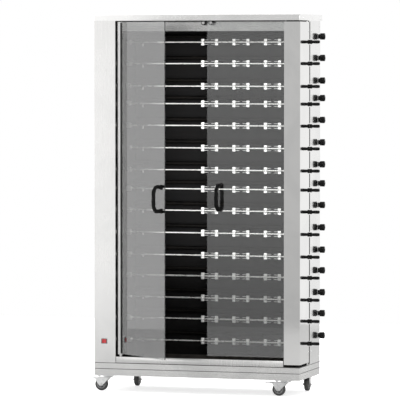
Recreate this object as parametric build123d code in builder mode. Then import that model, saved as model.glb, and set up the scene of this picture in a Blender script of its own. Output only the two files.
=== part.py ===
from build123d import *
from math import cos, radians, sin
import os

# Upright gas rotisserie oven: a stainless cabinet on casters with fifteen horizontal spits above each other.
#
# The cabinet stands on a base with four casters. The left column houses a chain drive that turns every spit.
# The right side houses the gas valves, one for each burner tube behind the spits. The left glass door pivots
# on a round post and stands ajar. The right door is a folded column with its glass, hinged where the spits
# leave the side of the cabinet.
#
# Millimetres. +X to the right, +Y to the back, +Z up. The origin is on the floor under the middle.

os.makedirs("parts", exist_ok=True)

# Cabinet
cabinet_width = 1130.0
cabinet_depth = 410.0
total_height = 2000.0
caster_height = 86.0
plinth_top = 122.0
deck_top = 155.0
roof_height = 32.0
roof_overhang = 45.0
plinth_flange = 90.0
sheet = 2.0
bend = 3.0
left_column_width = 118.0
right_column_width = 85.0
housing_depth = 52.0

# Spits and burners
lowest_spit_z = 266.0
spit_rises = (118, 112, 117, 110, 119, 119, 115, 101, 117, 119, 116, 93, 120, 114)
spit_y = -10.0
rod_radius = 4.5
journal_radius = 6.0
burner_rise = 30.0
burner_y = 128.0
burner_radius = 11.0
knob_y = 175.0
fork_pairs = 3
first_fork_x = -22.0
fork_pair_pitch = 173.5
fork_pair_gap = 77.0

# Doors
meeting_x = 54.0
glass_thickness = 5.0
glass_bottom = 204.0
glass_top = 1960.0
glass_y = -192.0
post_x = -423.0
post_y = -186.0
post_radius = 18.0
left_door_ajar = 42.0
handle_z = 1040.0
hinge_x = 560.0
hinge_y = -34.0

# Casters
wheel_radius = 35.0
wheel_width = 24.0
caster_trail = 32.0
front_caster_y = -150.0
front_caster_x = (-511.0, 471.0)
rear_caster_y = 150.0
rear_caster_x = (-440.0, 512.0)

# Switch
switch_x, switch_z = -510.0, 269.0
switch_width, switch_height = 27.0, 22.0
bezel_rim = 2.5
rocker_tilt = 8.0

# Drive
chain_x = (-494.0, -486.0)
chain_inner, chain_outer = 27.0, 33.0
sprocket_radius = 26.7
spindle_radius = 8.0
bush_radius = 12.0
gearbox_x = (-561.0, -505.0)
gearbox_half = 52.0
motor_x, motor_radius = -532.0, 27.0

# Pivots and fits
pivot_radius = 3.5
post_pin_radius = 6.0
shaft_clearance = 0.05
gap = 0.1

# Places worked out from the sizes above
left, right = -cabinet_width / 2, cabinet_width / 2
front, back = -cabinet_depth / 2, cabinet_depth / 2
roof_bottom = total_height - roof_height
left_wall_x = left + left_column_width
right_wall_x = right - right_column_width
liner_y = back - housing_depth
spit_levels = [lowest_spit_z + sum(spit_rises[:i]) for i in range(len(spit_rises) + 1)]
burner_levels = [z + burner_rise for z in spit_levels]
seam_y = hinge_y + 14.0
door_outer_x = right + sheet


def block(x_span, y_span, z_span, mode=Mode.ADD):
    """A box between two corners, in the part that is being built."""
    spans = (x_span, y_span, z_span)
    with Locations(tuple(sum(span) / 2 for span in spans)):
        Box(*[high - low for low, high in spans], mode=mode)


def rod_x(x_span, y, z, radius, mode=Mode.ADD):
    """A cylinder along X."""
    with Locations((sum(x_span) / 2, y, z)):
        Cylinder(radius, x_span[1] - x_span[0], rotation=(0, 90, 0), mode=mode)


def rod_y(x, y_span, z, radius, mode=Mode.ADD):
    """A cylinder along Y."""
    with Locations((x, sum(y_span) / 2, z)):
        Cylinder(radius, y_span[1] - y_span[0], rotation=(90, 0, 0), mode=mode)


def rod_z(x, y, z_span, radius, mode=Mode.ADD):
    """A cylinder along Z."""
    with Locations((x, y, sum(z_span) / 2)):
        Cylinder(radius, z_span[1] - z_span[0], mode=mode)


def slots(plane, centre, counts, spacing, size, cut=6.0):
    """Rows of round-ended ventilation slots, cut through a sheet that lies on the plane."""
    with BuildSketch(plane) as openings:
        with Locations(centre):
            with GridLocations(*spacing, *counts):
                SlotOverall(*size)
    extrude(openings.sketch, amount=cut, both=True, mode=Mode.SUBTRACT)


# ---- Base ----

# A folded frame with an inward flange below, which the casters bolt to.
with BuildPart() as base_plinth:
    block((left, right), (front, back), (caster_height, plinth_top))
    fillet(base_plinth.edges().filter_by(Axis.Z), bend)
    chamfer(base_plinth.faces().sort_by(Axis.Z)[-1].edges(), 1.0)
    inner_x, inner_y = (left + sheet, right - sheet), (front + sheet, back - sheet)
    block(inner_x, inner_y, (caster_height + sheet, plinth_top), Mode.SUBTRACT)
    open_x = (left + plinth_flange, right - plinth_flange)
    open_y = (front + plinth_flange, back - plinth_flange)
    block(open_x, open_y, (caster_height, caster_height + sheet), Mode.SUBTRACT)
base_plinth.part.label = "base_plinth"
export_step(base_plinth.part, "parts/base_plinth.step")

# An inverted pan that closes the base and carries the cabinet, with the lower pivots of both doors on it.
with BuildPart() as base_deck:
    block((left, right), (front, back), (plinth_top, deck_top))
    fillet(base_deck.edges().filter_by(Axis.Z), bend)
    chamfer(base_deck.faces().sort_by(Axis.Z)[0].edges(), 1.0)
    block(inner_x, inner_y, (plinth_top, deck_top - sheet), Mode.SUBTRACT)
    rod_z(post_x, post_y, (deck_top, 225), post_pin_radius)
    rod_z(post_x, post_y, (deck_top, 199), post_pin_radius + 3)
    rod_z(hinge_x, hinge_y, (deck_top, 185), pivot_radius)
    rod_z(hinge_x, hinge_y, (deck_top, 167), pivot_radius + 1)
base_deck.part.label = "base_deck"
export_step(base_deck.part, "parts/base_deck.step")

# ---- Left column: the drive housing ----

front_return = 18.0
with BuildPart() as drive_housing_cover:
    block((left, left_wall_x), (front, back - sheet), (deck_top, roof_bottom))
    corner = drive_housing_cover.edges().filter_by(Axis.Z).group_by(Axis.Y)[0].sort_by(Axis.X)[0]
    fillet(corner, bend)
    block((left + sheet, left_wall_x - sheet), (front + sheet, back), (deck_top, roof_bottom), Mode.SUBTRACT)
    open_side_x = (left_wall_x - sheet, left_wall_x)
    block(open_side_x, (front + front_return, back), (deck_top, roof_bottom), Mode.SUBTRACT)
    switch_hole_x = (switch_x - switch_width / 2, switch_x + switch_width / 2)
    switch_hole_z = (switch_z - switch_height / 2, switch_z + switch_height / 2)
    block(switch_hole_x, (front - 1, front + sheet + 1), switch_hole_z, Mode.SUBTRACT)
    for vent_z in (330, 1790):
        slots(Plane.YZ.offset(left), (60, vent_z), (2, 7), (110, 16), (90, 6))
drive_housing_cover.part.label = "drive_housing_cover"
export_step(drive_housing_cover.part, "parts/drive_housing_cover.step")

# Chain loop round all the sprockets, which it touches on both sides.
chain_span = spit_levels[-1] - spit_levels[0]
with BuildPart() as drive_chain:
    with BuildSketch(Plane.YZ.offset(chain_x[0])):
        with Locations((spit_y, (spit_levels[0] + spit_levels[-1]) / 2)):
            SlotCenterToCenter(chain_span, 2 * chain_outer, rotation=90)
            SlotCenterToCenter(chain_span, 2 * chain_inner, rotation=90, mode=Mode.SUBTRACT)
    extrude(amount=chain_x[1] - chain_x[0])
drive_chain.part.label = "drive_chain"
export_step(drive_chain.part, "parts/drive_chain.step")

# Gearbox on four posts, in line with the lowest spindle, with its motor behind.
gearbox_y = (spit_y - gearbox_half - 6, spit_y + gearbox_half + 2)
gearbox_z = (lowest_spit_z - gearbox_half, lowest_spit_z + gearbox_half)
post_places = [(y, z) for y in (spit_y - 45, spit_y + 45) for z in (lowest_spit_z - 40, lowest_spit_z + 40)]
motor_end = 150.0
with BuildPart() as gear_motor:
    block(gearbox_x, gearbox_y, gearbox_z)
    fillet(gear_motor.edges().filter_by(Axis.X), 8)
    for y, z in post_places:
        rod_x((gearbox_x[1], left_wall_x - sheet - gap), y, z, 4)
    rod_y(motor_x, (gearbox_y[1], motor_end), lowest_spit_z, motor_radius)
    rod_y(motor_x, (motor_end, motor_end + 10), lowest_spit_z, motor_radius - 5)
    fillet(gear_motor.faces().sort_by(Axis.Y)[-1].edges(), 4)
    bore_x = (gearbox_x[0] + 20, gearbox_x[1] + 1)
    rod_x(bore_x, spit_y, lowest_spit_z, spindle_radius + shaft_clearance, Mode.SUBTRACT)
gear_motor.part.label = "gear_motor"
export_step(gear_motor.part, "parts/gear_motor.step")

# ---- Power switch ----

with BuildPart() as switch_bezel:
    with BuildSketch(Plane.XZ.offset(-front)):
        with Locations((switch_x, switch_z)):
            RectangleRounded(switch_width + 5, switch_height + 5, 2)
    extrude(amount=bezel_rim)
    body_x = (switch_hole_x[0] + gap, switch_hole_x[1] - gap)
    body_z = (switch_hole_z[0] + gap, switch_hole_z[1] - gap)
    block(body_x, (front, front + 24), body_z)
    pocket_x, pocket_z = (switch_x - 12.5, switch_x + 12.5), (switch_z - 10, switch_z + 10)
    block(pocket_x, (front - bezel_rim, front + 12), pocket_z, Mode.SUBTRACT)
switch_bezel.part.label = "switch_bezel"
export_step(switch_bezel.part, "parts/switch_bezel.step")

# The rocker has two shallow faces and rests with its right end pressed in.
rocker_pivot_y = front + 2.0
rocker_half, rocker_height = 11.1, 19.2
rocker_outline = [(-rocker_half, -6), (0, -4.2), (rocker_half, -6), (rocker_half, 3), (-rocker_half, 3)]
with BuildPart() as switch_rocker:
    with BuildSketch(Plane.XY.offset(switch_z - rocker_height / 2)):
        with Locations((switch_x, rocker_pivot_y)):
            Polygon(*rocker_outline, align=None)
    extrude(amount=rocker_height)
    fillet(switch_rocker.edges().filter_by(Axis.Z).group_by(Axis.Y)[0], 1.2)
rocker_axis = Axis((switch_x, rocker_pivot_y, switch_z), (0, 0, 1))
switch_rocker_tilted = switch_rocker.part.rotate(rocker_axis, rocker_tilt)
switch_rocker_tilted.label = "switch_rocker"
export_step(switch_rocker_tilted, "parts/switch_rocker.step")

# ---- Cooking chamber ----

# Four flat panels: a left wall with a bearing bush for each spit, a right wall and its front strip with a
# slot for each, and the dark rear liner.
slot_half = 9.0
with BuildPart() as chamber_walls:
    left_wall = (left_wall_x - sheet, left_wall_x)
    block(left_wall, (front + front_return + 2, back - sheet), (deck_top, roof_bottom))
    right_wall = (right_wall_x, right_wall_x + sheet)
    block(right_wall, (seam_y + sheet + gap, back - sheet), (deck_top, roof_bottom))
    block((right_wall_x, right - sheet), (seam_y, seam_y + sheet), (deck_top, roof_bottom))
    block((left_wall_x + gap, right_wall_x - gap), (liner_y - sheet, liner_y), (deck_top, roof_bottom))
    for z in spit_levels:
        rod_x((left_wall_x - 3, left_wall_x + 1), spit_y, z, bush_radius, Mode.SUBTRACT)
        slot_z = (z - slot_half, z + slot_half)
        block((right_wall_x - 1, right + 1), (seam_y - 1, spit_y), slot_z, Mode.SUBTRACT)
        through_wall = (right_wall_x - 1, right_wall_x + sheet + 1)
        rod_x(through_wall, spit_y, z, slot_half, Mode.SUBTRACT)
        rod_x(through_wall, burner_y, z + burner_rise, burner_radius + 0.5, Mode.SUBTRACT)
    for z in spit_levels:
        rod_x((left_wall_x - 12, left_wall_x + 2), spit_y, z, bush_radius - gap)
        bore_x = (left_wall_x - 13, left_wall_x + 3)
        rod_x(bore_x, spit_y, z, spindle_radius + shaft_clearance, Mode.SUBTRACT)
chamber_walls.part.label = "chamber_walls"
export_step(chamber_walls.part, "parts/chamber_walls.step")

# Outer right panel and, on its front edge, the proud strip that the spit journals rest in.
seat_slot = 6.6
with BuildPart() as right_side_panel:
    block((right - sheet, right), (seam_y, back - sheet), (deck_top, roof_bottom))
    block((right, door_outer_x), (seam_y, 58), (deck_top + 15, roof_bottom - 13))
    for z in spit_levels:
        notch_x = (right - sheet - 1, door_outer_x + 1)
        block(notch_x, (seam_y - 1, spit_y), (z - seat_slot, z + seat_slot), Mode.SUBTRACT)
        rod_x(notch_x, spit_y, z, seat_slot, Mode.SUBTRACT)
        rod_x((right - 3, right + 1), knob_y, z + burner_rise, 6, Mode.SUBTRACT)
right_side_panel.part.label = "right_side_panel"
export_step(right_side_panel.part, "parts/right_side_panel.step")

vent_levels = (300, 1800)
inlet_x, inlet_z, inlet_radius = 540.0, 230.0, 10.5
with BuildPart() as back_panel:
    block((left, right), (back - sheet, back), (deck_top, roof_bottom))
    for vent_z in vent_levels:
        slots(Plane.XZ.offset(-back), (0, vent_z), (6, 9), (150, 18), (120, 7))
    rod_y(inlet_x, (back - 3, back + 1), inlet_z, inlet_radius + 1, Mode.SUBTRACT)
back_panel.part.label = "back_panel"
export_step(back_panel.part, "parts/back_panel.step")

# Shell of the roof, which runs on past the back of the cabinet over the flue.
with BuildPart() as roof_cap:
    block((left, right), (front, back + roof_overhang), (roof_bottom, total_height))
    fillet(roof_cap.edges().filter_by(Axis.Z), bend)
    fillet(roof_cap.faces().sort_by(Axis.Z)[-1].edges(), 1.5)
    hollow_y = (front + sheet, back + roof_overhang - sheet)
    block((left + sheet, right - sheet), hollow_y, (roof_bottom, total_height - sheet), Mode.SUBTRACT)
roof_cap.part.label = "roof_cap"
export_step(roof_cap.part, "parts/roof_cap.step")

# Ceiling of the chamber with its flue slots, the lintel behind the doors, two catches and the top pivots.
lintel_bottom = 1913.0
lintel_y = -160.0
catch_x, catch_z = (34.0, 76.0), 1956.0
with BuildPart() as chamber_top:
    plate_x = (left + sheet + gap, right - sheet - gap)
    block(plate_x, (front + sheet + gap, back), (roof_bottom, roof_bottom + sheet))
    slots(Plane.XY.offset(roof_bottom), (0, 90), (12, 3), (70, 30), (50, 12))
    lintel_x = (left_wall_x + gap, right_wall_x - gap)
    block(lintel_x, (lintel_y, lintel_y + sheet), (lintel_bottom, roof_bottom))
    block(lintel_x, (lintel_y, lintel_y + 14), (lintel_bottom, lintel_bottom + sheet))
    for x in catch_x:
        rod_y(x, (glass_y + glass_thickness / 2 + 0.4, lintel_y), catch_z, 8)
    rod_z(post_x, post_y, (1935, roof_bottom), post_pin_radius)
    rod_z(hinge_x, hinge_y, (1945, roof_bottom), pivot_radius)
chamber_top.part.label = "chamber_top"
export_step(chamber_top.part, "parts/chamber_top.step")

# ---- Gas side ----

valve_x = (517.0, 550.0)
feed_x = 530.0
manifold_x = 505.0
igniter_x = -392.0

# A burner tube behind each spit. A ceramic igniter hangs in a bracket under each one.
with BuildPart() as burner_tubes:
    for z in burner_levels:
        rod_x((left_wall_x + 1, 540), burner_y, z, burner_radius)
        block((left_wall_x, left_wall_x + 3), (burner_y - 14, burner_y + 14), (z - 14, z + 14))
        bracket_x = (igniter_x - 6, igniter_x + 6)
        block(bracket_x, (burner_y - 12, burner_y - 10), (z - 40, z - 8))
        block(bracket_x, (burner_y - 16, burner_y - 10), (z - 44, z - 40))
        rod_z(igniter_x, burner_y - 16, (z - 64, z - 36), 4)
burner_tubes.part.label = "burner_tubes"
export_step(burner_tubes.part, "parts/burner_tubes.step")

# Riser with a valve for each burner, and an elbow to the inlet pipe that leaves through the back.
with BuildPart() as gas_manifold:
    rod_z(manifold_x, knob_y, (205, burner_levels[-1] + 40), 11)
    rod_x((manifold_x, inlet_x - 12), knob_y, inlet_z, 8)
    block((inlet_x - 13, inlet_x + 13), (knob_y - 13, knob_y + 13), (inlet_z - 13, inlet_z + 13))
    rod_y(inlet_x, (knob_y + 12, back + 5), inlet_z, inlet_radius - 2)
    rod_y(inlet_x, (back + 3, back + 30), inlet_z, inlet_radius)
    chamfer(gas_manifold.faces().sort_by(Axis.Y)[-1].edges(), 1.5)
    for z in burner_levels:
        block(valve_x, (knob_y - 15, knob_y + 15), (z - 12, z + 12))
        rod_x((manifold_x, valve_x[0]), knob_y, z, 8)
        rod_y(feed_x, (burner_y + burner_radius, knob_y - 15), z, 5)
gas_manifold.part.label = "gas_manifold"
export_step(gas_manifold.part, "parts/gas_manifold.step")

# Round knobs with a skirt, a neck, a pointer on the end and a stem that enters the valve.
knob_profile = [(0, 2), (12.5, 2), (12.5, 5), (8, 6), (8, 8), (17, 10), (17.5, 32.5), (16, 34), (0, 34)]
for number, z in enumerate(burner_levels, start=1):
    with BuildPart() as gas_knob:
        with BuildSketch(Plane(origin=(right, knob_y, z), x_dir=(0, 0, 1), z_dir=(0, 1, 0))):
            Polygon(*knob_profile, align=None)
        revolve(axis=Axis((right, knob_y, z), (1, 0, 0)))
        rod_x((valve_x[1] + 0.4, right + 2), knob_y, z, 4)
        block((right + 33, right + 35.5), (knob_y - 1.5, knob_y + 1.5), (z + 2, z + 15))
    gas_knob.part.label = f"gas_knob_{number:02d}"
    export_step(gas_knob.part, f"parts/gas_knob_{number:02d}.step")

# ---- Spits ----

socket_x = (-444.0, -420.0)
handle_x = (569.0, 578.0, 621.0)
collar_radius, grip_radius = 11.5, 8.5
fork_head, fork_height = 18.0, 35.0
tine_length, tine_radius = 32.0, 1.6
fork_xs = []
for pair in range(fork_pairs):
    fork_xs += [first_fork_x + fork_pair_pitch * pair, first_fork_x + fork_pair_pitch * pair + fork_pair_gap]


def build_spit(spindle_tip):
    """The lowest spit with its sprocket, spindle, drive socket, rod, forks, collar and grip."""
    level = lowest_spit_z
    with BuildPart() as spit:
        rod_x((chain_x[0] + 1, chain_x[1] - 1), spit_y, level, sprocket_radius)
        with BuildSketch(Plane.YZ.offset(chain_x[0])):
            with Locations((spit_y, level)):
                with PolarLocations(18, 6):
                    Circle(5)
        extrude(amount=chain_x[1] - chain_x[0], mode=Mode.SUBTRACT)
        rod_x((spindle_tip, socket_x[0]), spit_y, level, spindle_radius)
        rod_x(socket_x, spit_y, level, 13)
        rod_x((socket_x[1] - 12, socket_x[1]), spit_y, level, 7, Mode.SUBTRACT)
        rod_x((socket_x[0] + 4, right - 5), spit_y, level, rod_radius)
        rod_x((right - 13, handle_x[0]), spit_y, level, journal_radius)
        rod_x((handle_x[0], handle_x[1]), spit_y, level, collar_radius)
        rod_x((handle_x[1], handle_x[2]), spit_y, level, grip_radius)
        fillet(spit.faces().sort_by(Axis.X)[-1].edges(), 3)
        for place, x in enumerate(fork_xs):
            inward = 1 if place % 2 == 0 else -1
            head_x, head_y = (x - fork_head / 2, x + fork_head / 2), (spit_y - 5, spit_y + 5)
            block(head_x, head_y, (level - fork_height / 2, level + fork_height / 2))
            reach = sorted((x, x + tine_length * inward))
            for side in (-1, 1):
                rod_x(reach, spit_y, level + 12 * side, tine_radius)
            rod_y(x, (spit_y - 10, spit_y - 4), level, 3)
            rod_y(x, (spit_y - 12, spit_y - 9), level, 5)
    return spit.part


# The lowest spindle is longer than the others, and enters the gearbox.
driven_spit = build_spit(gearbox_x[0] + 21)
plain_spit = build_spit(chain_x[0] - 10)
for number, level in enumerate(spit_levels, start=1):
    pattern = driven_spit if number == 1 else plain_spit
    spit_part = pattern.moved(Location((0, 0, level - lowest_spit_z)))
    spit_part.label = f"spit_{number:02d}"
    export_step(spit_part, f"parts/spit_{number:02d}.step")

# ---- Drip tray ----

# A shallow pan behind a rail that runs the whole width below the doors.
rail_top, tray_top = 188.0, 178.0
tray_bottom = deck_top + 0.4
tray_x, tray_y = (-396.0, 474.0), (-199.0, 140.0)
rail_x = (-445.0, 476.0)
tray_wall = 1.5
with BuildPart() as drip_tray:
    block(tray_x, tray_y, (tray_bottom, tray_top))
    fillet(drip_tray.edges().filter_by(Axis.Z).group_by(Axis.Y)[-1], 10)
    inner_tray_x = (tray_x[0] + tray_wall, tray_x[1] - tray_wall)
    inner_tray_y = (tray_y[0] + 9, tray_y[1] - tray_wall)
    block(inner_tray_x, inner_tray_y, (tray_bottom + 1.6, tray_top + 1), Mode.SUBTRACT)
    block(rail_x, (tray_y[0] - 5, tray_y[0]), (tray_bottom, rail_top))
    block(rail_x, (tray_y[0] - 5, tray_y[0] + 2.5), (rail_top - 2, rail_top))
    fillet(drip_tray.edges().filter_by(Axis.X).group_by(Axis.Y)[0], 0.8)
drip_tray.part.label = "drip_tray"
export_step(drip_tray.part, "parts/drip_tray.step")

# ---- Right door ----

# Folded column with a hem at its back edge, end plates that turn on the pivots and a channel for the glass.
column_bottom, column_top = 168.0, 1961.0
end_plate = 4.0
channel_depth = 20.0
door_back_y = seam_y - 3.0
with BuildPart() as right_door_column:
    block((right_wall_x, door_outer_x), (front, door_back_y), (column_bottom, column_top))
    corner = right_door_column.edges().filter_by(Axis.Z).group_by(Axis.Y)[0].sort_by(Axis.X)[-1]
    fillet(corner, bend)
    inside_x = (right_wall_x - 1, right)
    inside_z = (column_bottom + end_plate, column_top - end_plate)
    block(inside_x, (front + sheet, door_back_y + 1), inside_z, Mode.SUBTRACT)
    hem_x = (right - 10, right)
    block(hem_x, (door_back_y - sheet, door_back_y), (column_bottom + 20, column_top - 32))
    channel_x = (right_wall_x, right_wall_x + channel_depth + sheet)
    block(channel_x, (front + sheet, front + 20), (glass_bottom - 6, inside_z[1]))
    glass_slot_x = (right_wall_x - 1, right_wall_x + channel_depth)
    glass_slot_y = (glass_y - glass_thickness / 2 - gap, glass_y + glass_thickness / 2 + gap)
    block(glass_slot_x, glass_slot_y, (glass_bottom - gap, inside_z[1]), Mode.SUBTRACT)
    for z in (column_bottom, inside_z[1]):
        rod_z(hinge_x, hinge_y, (z - 1, z + end_plate + 1), pivot_radius + shaft_clearance, Mode.SUBTRACT)
    for z in (240, 1918):
        rod_y(519, (front - 1.5, front), z, 4)
right_door_column.part.label = "right_door_column"
export_step(right_door_column.part, "parts/right_door_column.step")

with BuildPart() as right_door_glass:
    glass_span_y = (glass_y - glass_thickness / 2, glass_y + glass_thickness / 2)
    glass_span_x = (meeting_x + 3, right_wall_x + channel_depth - gap)
    block(glass_span_x, glass_span_y, (glass_bottom, inside_z[1] - gap))
    chamfer(right_door_glass.edges().filter_by(Axis.Z), 0.8)
right_door_glass.part.label = "right_door_glass"
export_step(right_door_glass.part, "parts/right_door_glass.step")

# ---- Door handles ----

bar_radius = 10.0
bar_offset = 53.0
bar_shift = 10.0
leg_half_height = 62.0


def build_handle(plane, foot_u, glass_v, shift):
    """A bent round bar that stands off the glass, on two feet with a washer plate behind the glass."""
    with BuildPart(plane) as handle:
        foot_v = glass_v - glass_thickness / 2
        low, high = handle_z - leg_half_height, handle_z + leg_half_height
        path_points = [
            (foot_u, foot_v - 3, low),
            (foot_u + shift * 0.6, foot_v - bar_offset * 0.7, low - 2),
            (foot_u + shift, foot_v - bar_offset, low + 22),
            (foot_u + shift, foot_v - bar_offset, high - 22),
            (foot_u + shift * 0.6, foot_v - bar_offset * 0.7, high + 2),
            (foot_u, foot_v - 3, high),
        ]
        with BuildLine(plane):
            route = FilletPolyline(*path_points, radius=14)
        with BuildSketch(Plane(origin=route @ 0, z_dir=route % 0)):
            Circle(bar_radius)
        sweep(path=route)
        back_v = glass_v + glass_thickness / 2
        for z in (low, high):
            rod_y(foot_u, (foot_v - 4, foot_v), z, bar_radius + 3)
            rod_y(foot_u, (back_v, back_v + 3), z, bar_radius + 1)
    return handle.part


right_handle_foot_x = 133.0
right_door_handle = build_handle(Plane.XY, right_handle_foot_x, glass_y, -bar_shift)
right_door_handle.label = "right_door_handle"
export_step(right_door_handle, "parts/right_door_handle.step")

# ---- Left door, built on a plane turned to where the door stands ajar ----

door_reach = meeting_x - 3 - post_x
glass_v = glass_y - post_y
turn = radians(left_door_ajar)
ajar_plane = Plane(origin=(post_x, post_y, 0), x_dir=(cos(turn), -sin(turn), 0), z_dir=(0, 0, 1))
post_bottom, post_top = 200.0, 1962.0

with BuildPart(ajar_plane) as left_door_post:
    rod_z(0, 0, (post_bottom, post_top), post_radius)
    slot_v = (glass_v - glass_thickness / 2 - gap, glass_v + glass_thickness / 2 + gap)
    block((9, post_radius + 1), slot_v, (glass_bottom - gap, post_top + 1), Mode.SUBTRACT)
    for pin_z in ((post_bottom - 1, 230), (1930, post_top + 1)):
        rod_z(0, 0, pin_z, post_pin_radius + shaft_clearance, Mode.SUBTRACT)
left_door_post.part.label = "left_door_post"
export_step(left_door_post.part, "parts/left_door_post.step")

with BuildPart(ajar_plane) as left_door_glass:
    span_v = (glass_v - glass_thickness / 2, glass_v + glass_thickness / 2)
    block((9 + gap, door_reach), span_v, (glass_bottom, glass_top))
    chamfer(left_door_glass.edges().filter_by(Axis.Z), 0.8)
left_door_glass.part.label = "left_door_glass"
export_step(left_door_glass.part, "parts/left_door_glass.step")

left_door_handle = build_handle(ajar_plane, door_reach - 34, glass_v, bar_shift)
left_door_handle.label = "left_door_handle"
export_step(left_door_handle, "parts/left_door_handle.step")

# ---- Casters ----

plate_bottom = caster_height - 4
bearing_bottom = 74.0
crown_z = (70.5, bearing_bottom - 0.4)
leg_gap = wheel_width / 2 + 2
leg_thickness = 2.5
axle_radius = 5.0


def leg_pair(outline, plane):
    """Two fork legs with the given outline, one each side of the wheel."""
    for side in (leg_gap, -leg_gap - leg_thickness):
        with BuildSketch(plane.offset(side)) as leg:
            with BuildLine():
                Polyline(*outline, close=True)
            make_face()
        extrude(leg.sketch, amount=leg_thickness)


# Top plates of all four casters, with the fixed forks of the rear pair.
with BuildPart() as caster_mounts:
    for x in front_caster_x:
        block((x - 45, x + 45), (front_caster_y - 38, front_caster_y + 38), (plate_bottom, caster_height))
        rod_z(x, front_caster_y, (bearing_bottom, plate_bottom), 22)
        stem_z = (bearing_bottom - 1, caster_height - 2)
        rod_z(x, front_caster_y, stem_z, axle_radius + shaft_clearance, Mode.SUBTRACT)
    for x in rear_caster_x:
        block((x - 38, x + 38), (rear_caster_y - 45, rear_caster_y + 45), (plate_bottom, caster_height))
        block((x - leg_gap - leg_thickness, x + leg_gap + leg_thickness),
              (rear_caster_y - 20, rear_caster_y + 20), (crown_z[0], plate_bottom))
        rear_outline = [(rear_caster_y - 20, 78), (rear_caster_y + 20, 78),
                        (rear_caster_y + 10, 28), (rear_caster_y - 10, 28)]
        leg_pair(rear_outline, Plane.YZ.offset(x))
        axle_x = (x - leg_gap - leg_thickness - 3, x + leg_gap + leg_thickness + 3)
        rod_x(axle_x, rear_caster_y, wheel_radius, axle_radius)
caster_mounts.part.label = "caster_mounts"
export_step(caster_mounts.part, "parts/caster_mounts.step")

# Swivel forks of the front pair, each with its axle, and the brake pedal that is pinned between its legs.
pedal_pivot_z, pedal_pin_radius = 66.0, 3.0
pedal_width = 25.0
sides = ("left", "right")
for side, x in zip(sides, front_caster_x):
    axle_x = x - caster_trail
    pedal_x = x - 58
    with BuildPart() as caster_fork:
        crown_half = leg_gap + leg_thickness
        block((x - 20, x + 20), (front_caster_y - crown_half, front_caster_y + crown_half), crown_z)
        rod_z(x, front_caster_y, (crown_z[0], caster_height - 4), axle_radius)
        fork_outline = [(x + 18, 73), (x - 22, 73), (pedal_x - 6, 70), (pedal_x - 6, 62),
                        (axle_x - 9, 27), (axle_x + 7, 27), (x + 14, 68)]
        leg_pair(fork_outline, Plane.XZ.offset(-front_caster_y))
        axle_y = (front_caster_y - leg_gap - leg_thickness - 3, front_caster_y + leg_gap + leg_thickness + 3)
        rod_y(pedal_x, axle_y, pedal_pivot_z, pedal_pin_radius + shaft_clearance, Mode.SUBTRACT)
        rod_y(axle_x, axle_y, wheel_radius, axle_radius)
    caster_fork.part.label = f"front_{side}_caster_fork"
    export_step(caster_fork.part, f"parts/front_{side}_caster_fork.step")

    with BuildPart() as brake_pedal:
        with BuildSketch(Plane.XZ.offset(-front_caster_y - pedal_width / 2)):
            with BuildLine():
                Polyline((pedal_x + 6, 66), (pedal_x, 70), (x - 84, 72), (x - 106, 70), (x - 106, 66.5),
                         (x - 84, 68), (pedal_x - 4, 64), (pedal_x, 62), close=True)
            make_face()
        extrude(amount=pedal_width)
        pin_y = (front_caster_y - leg_gap - leg_thickness - 1, front_caster_y + leg_gap + leg_thickness + 1)
        rod_y(pedal_x, pin_y, pedal_pivot_z, pedal_pin_radius)
    brake_pedal.part.label = f"front_{side}_brake_pedal"
    export_step(brake_pedal.part, f"parts/front_{side}_brake_pedal.step")


def build_wheel(axle_x, axle_y, along_y):
    """A tyre on a hub with a bore for its axle."""
    flat = Plane.XZ if along_y else Plane.YZ
    hub_plane = Plane(origin=(axle_x, axle_y, wheel_radius), x_dir=flat.x_dir, z_dir=flat.z_dir)
    with BuildPart(hub_plane) as wheel:
        Cylinder(wheel_radius, wheel_width)
        fillet(wheel.edges(), 5)
        for face in (-1, 1):
            with Locations((0, 0, face * wheel_width / 2)):
                Cylinder(22, 6, mode=Mode.SUBTRACT)
        Cylinder(11, wheel_width)
        Cylinder(axle_radius + shaft_clearance, wheel_width + 2, mode=Mode.SUBTRACT)
    return wheel.part


for side, x in zip(sides, front_caster_x):
    wheel_part = build_wheel(x - caster_trail, front_caster_y, True)
    wheel_part.label = f"front_{side}_wheel"
    export_step(wheel_part, f"parts/front_{side}_wheel.step")
for side, x in zip(sides, rear_caster_x):
    wheel_part = build_wheel(x, rear_caster_y, False)
    wheel_part.label = f"rear_{side}_wheel"
    export_step(wheel_part, f"parts/rear_{side}_wheel.step")
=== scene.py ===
import bmesh
import bpy
import math
from mathutils import Matrix, Vector


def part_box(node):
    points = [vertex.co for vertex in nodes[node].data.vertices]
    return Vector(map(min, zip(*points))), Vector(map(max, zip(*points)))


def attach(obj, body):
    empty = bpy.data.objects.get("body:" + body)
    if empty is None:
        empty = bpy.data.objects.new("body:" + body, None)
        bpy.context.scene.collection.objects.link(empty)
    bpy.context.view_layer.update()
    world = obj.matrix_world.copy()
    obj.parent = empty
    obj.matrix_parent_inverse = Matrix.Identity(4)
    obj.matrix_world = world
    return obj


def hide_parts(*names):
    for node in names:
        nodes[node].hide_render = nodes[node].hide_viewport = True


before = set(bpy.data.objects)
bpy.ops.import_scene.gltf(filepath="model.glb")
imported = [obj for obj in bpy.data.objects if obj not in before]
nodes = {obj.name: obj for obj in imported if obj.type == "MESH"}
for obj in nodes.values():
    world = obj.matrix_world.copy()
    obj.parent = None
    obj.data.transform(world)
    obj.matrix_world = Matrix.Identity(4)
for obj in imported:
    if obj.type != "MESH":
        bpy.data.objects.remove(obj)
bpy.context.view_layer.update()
spitNames = sorted(name for name in nodes if name.startswith("spit_"))
knobNames = sorted(name for name in nodes if name.startswith("gas_knob_"))
print("frame loaded:", len(nodes), "nodes")


# Small tools for the modelling below. Every piece keeps its object at the origin.

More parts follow.
